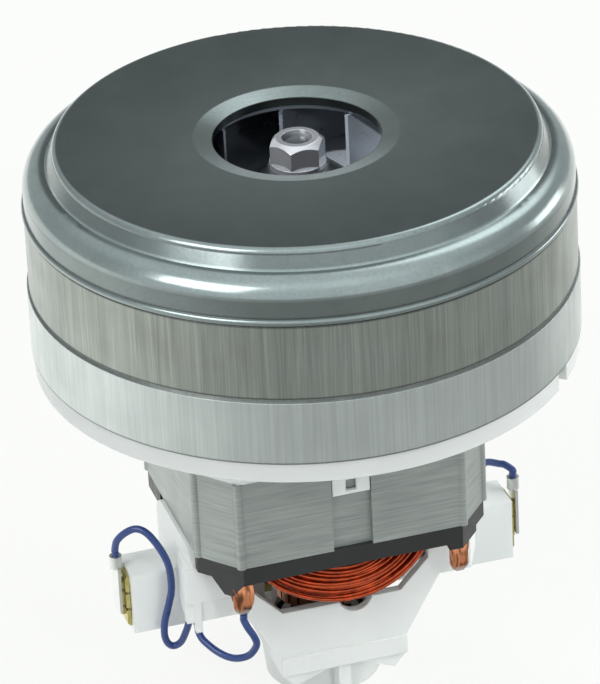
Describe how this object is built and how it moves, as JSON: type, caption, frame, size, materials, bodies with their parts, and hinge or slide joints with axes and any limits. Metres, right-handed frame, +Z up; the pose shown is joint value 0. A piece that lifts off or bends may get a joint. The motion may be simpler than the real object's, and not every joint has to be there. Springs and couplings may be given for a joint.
{
  "type": "vacuum motor unit",
  "caption": "Vacuum cleaner motor: a stepped round steel fan case with a central inlet over a brush motor in white brackets, with blue jumper leads.",
  "frame": {"origin": "under the shaft, on the plane that the bearing cup stands on", "axes": "+Z up the shaft to the air inlet, X along the brushes, -Y to the front"},
  "size_m": [0.145, 0.145, 0.1623],
  "materials": {
    "cover_steel": "dark zinc-coated sheet, satin",
    "middle_steel": "zinc-coated sheet with upright drawing marks",
    "lower_steel": "lighter zinc-coated sheet, satin",
    "inner_steel": "zinc-coated sheet",
    "white_plastic": "moulded, satin",
    "guide_plastic": "moulded, matt",
    "laminations": "stacked electrical sheets, edges showing",
    "black_plastic": "glass-filled moulding, matt",
    "enamelled_copper": "enamelled copper wire",
    "copper_strip": "bare copper strip with soldered tips",
    "brass": "pressed brass",
    "tinned": "tinned brass",
    "spring_steel": "drawn wire",
    "blue_insulation": "smooth plastic insulation",
    "bearing_steel": "ground",
    "black_rubber": "moulded",
    "shaft_steel": "ground",
    "impeller_aluminium": "bright sheet",
    "commutator_copper": "turned copper",
    "brown_resin": "moulded resin",
    "carbon": "pressed carbon",
    "bright_zinc": "bright zinc-plated"
  },
  "bodies": {
    "case": {"fan_cover": "cover_steel", "middle_ring": "middle_steel", "lower_ring": "lower_steel", "stage_divider": "inner_steel", "first_guide": "guide_plastic", "second_guide_disc": "guide_plastic", "fan_end_bracket": "white_plastic", "stator_core": "laminations", "upper_insulator": "black_plastic", "lower_insulator": "black_plastic", "field_coil_front": "enamelled_copper", "field_coil_rear": "enamelled_copper", "coil_terminals": "copper_strip", "commutator_end_bracket": "white_plastic", "brush_holder_left": "brass", "brush_holder_right": "brass", "brush_cap_left": "brass", "brush_cap_right": "brass", "brush_spring_left": "spring_steel", "brush_spring_right": "spring_steel", "lead_lug_left": "tinned", "lead_lug_right": "tinned", "jumper_lead_left": "blue_insulation", "jumper_lead_right": "blue_insulation", "upper_bearing_outer": "bearing_steel", "lower_bearing_outer": "bearing_steel", "bearing_cup": "black_rubber", "preload_washer": "spring_steel"},
    "rotor": {"shaft": "shaft_steel", "armature_core": "laminations", "armature_winding": "enamelled_copper", "commutator_hub": "brown_resin", "commutator_bars": "commutator_copper", "upper_bearing_inner": "bearing_steel", "lower_bearing_inner": "bearing_steel", "lower_spacer": "shaft_steel", "upper_spacer": "shaft_steel", "second_impeller_disc": "impeller_aluminium", "second_impeller_blades": "impeller_aluminium", "second_impeller_shroud": "impeller_aluminium", "first_impeller_disc": "impeller_aluminium", "first_impeller_blades": "impeller_aluminium", "first_impeller_shroud": "impeller_aluminium", "first_hub": "shaft_steel", "clamp_washer": "bright_zinc", "fan_nut": "bright_zinc"},
    "upper_balls": {"upper_ball_set": "bearing_steel"},
    "lower_balls": {"lower_ball_set": "bearing_steel"},
    "brush_left": {"brush_left": "carbon"},
    "brush_right": {"brush_right": "carbon"}
  },
  "joints": [
    {"name": "rotor_spin", "type": "hinge", "parent": "case", "child": "rotor", "pos_m": [0, 0, 0.08], "axis": [0, 0, 1], "continuous": true},
    {"name": "upper_ball_spin", "type": "hinge", "parent": "case", "child": "upper_balls", "pos_m": [0, 0, 0.1005], "axis": [0, 0, 1], "continuous": true},
    {"name": "lower_ball_spin", "type": "hinge", "parent": "case", "child": "lower_balls", "pos_m": [0, 0, 0.0125], "axis": [0, 0, 1], "continuous": true},
    {"name": "brush_left_slide", "type": "slide", "parent": "case", "child": "brush_left", "axis": [-1, 0, 0], "range_m": [0, 0.005], "stiffness_N_per_m": 150, "springref_m": -0.02, "deforming": ["brush_spring_left"]},
    {"name": "brush_right_slide", "type": "slide", "parent": "case", "child": "brush_right", "axis": [1, 0, 0], "range_m": [0, 0.005], "stiffness_N_per_m": 150, "springref_m": -0.02, "deforming": ["brush_spring_right"]}
  ],
  "couplings": [
    {"joint": "upper_ball_spin", "follows": "rotor_spin", "ratio": 0.36667},
    {"joint": "lower_ball_spin", "follows": "rotor_spin", "ratio": 0.36667}
  ]
}
